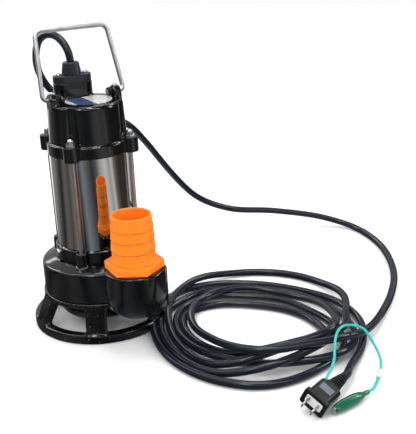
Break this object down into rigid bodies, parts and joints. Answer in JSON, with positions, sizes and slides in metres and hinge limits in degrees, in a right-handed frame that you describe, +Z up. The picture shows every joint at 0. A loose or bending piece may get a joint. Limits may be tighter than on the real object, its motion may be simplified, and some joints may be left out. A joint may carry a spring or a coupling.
{
  "type": "submersible sump pump",
  "caption": "Submersible sump pump on a ventilated stand with an upright hose tail, a folding bail handle and a coiled mains cord with a plug and an earth clip.",
  "frame": {"origin": "on the floor plane under the motor shaft, at the foot ring's centre", "axes": "+Z up along the shaft; the hose tail stands towards -Y and the handle's pivots lie along X"},
  "size_m": [0.581, 0.5225, 0.391],
  "materials": {
    "cast_iron_black": "thick gloss black enamel over a sand casting",
    "cast_iron_raw": "machined and bare",
    "stainless_mirror": "mirror polished",
    "stainless_bright": "bright, finely brushed",
    "zinc_steel": "bright zinc plated",
    "tool_steel": "ground",
    "lamination": "stacked sheet with varnish",
    "copper": "varnished winding wire",
    "ceramic": "lapped ceramic",
    "carbon": "carbon and rubber",
    "rubber_black": "matt",
    "orange_plastic": "satin gloss moulding",
    "gasket_red": "matt",
    "cord_sheath": "satin dark blue-black",
    "plug_black": "satin",
    "plug_white": "satin",
    "label_grey": "blank grey-blue",
    "label_plate": "blank blue and white",
    "lead_teal": "satin",
    "sleeve_white": "blank",
    "boot_green": "gloss",
    "motor_plastic": "phenolic",
    "can_aluminium": "drawn can"
  },
  "bodies": {
    "pump": {"stand": "cast_iron_black", "stand_screws": "zinc_steel", "suction_cover": "cast_iron_black", "volute_casing": "cast_iron_black", "mechanical_seal_seat": "ceramic", "oil_seal": "rubber_black", "bearing_bracket": "cast_iron_black", "oil_plug": "zinc_steel", "lower_bearing": "tool_steel", "upper_bearing": "tool_steel", "upper_bearing_bracket": "cast_iron_raw", "stator_core": "lamination", "stator_windings": "copper", "motor_shell": "stainless_mirror", "shell_o_rings": "rubber_black", "top_cover": "cast_iron_black", "tie_rods": "stainless_bright", "tie_rod_washers": "stainless_bright", "tie_rod_nuts": "stainless_bright", "capacitor": "can_aluminium", "thermal_protector": "motor_plastic", "nameplate": "label_plate", "cable_bushing": "rubber_black", "clamp_plate": "cast_iron_black", "clamp_screws": "zinc_steel", "cable_boot": "rubber_black", "handle_set_screws": "zinc_steel", "discharge_elbow": "cast_iron_black", "elbow_gasket": "rubber_black", "elbow_bolts": "zinc_steel", "hose_adapter": "orange_plastic", "adapter_gasket": "gasket_red", "cord_run": "cord_sheath", "cord_coil": "cord_sheath", "cord_tail": "cord_sheath", "plug_body": "plug_black", "plug_face": "plug_white", "plug_blades": "stainless_bright", "plug_strain_relief": "plug_black", "plug_label": "label_grey", "earth_lead": "lead_teal", "lead_sleeve": "sleeve_white", "clip_boot": "boot_green", "clip_lower_jaw": "zinc_steel", "clip_pin": "zinc_steel", "clip_spring": "zinc_steel"},
    "rotor_assembly": {"shaft": "stainless_bright", "rotor": "lamination", "impeller": "cast_iron_raw", "impeller_nut": "stainless_bright", "impeller_key": "tool_steel", "mechanical_seal_ring": "carbon"},
    "bail": {"handle": "stainless_bright", "handle_nuts": "plug_black"},
    "clip_jaw": {"clip_upper_jaw": "zinc_steel"}
  },
  "joints": [
    {"name": "rotor_spin", "type": "hinge", "parent": "pump", "child": "rotor_assembly", "pos_m": [0, 0, 0.15], "axis": [0, 0, 1], "continuous": true},
    {"name": "handle_swing", "type": "hinge", "parent": "pump", "child": "bail", "pos_m": [0, 0, 0.306], "axis": [1, 0, 0], "range_deg": [-12, 120]},
    {"name": "clip_open", "type": "hinge", "parent": "pump", "child": "clip_jaw", "pos_m": [0.11987, -0.37377, 0.0065], "axis": [-0.1115, 0.9938, 0], "range_deg": [0, 10], "stiffness_Nm_per_rad": 0.02, "springref_deg": -17.19}
  ]
}
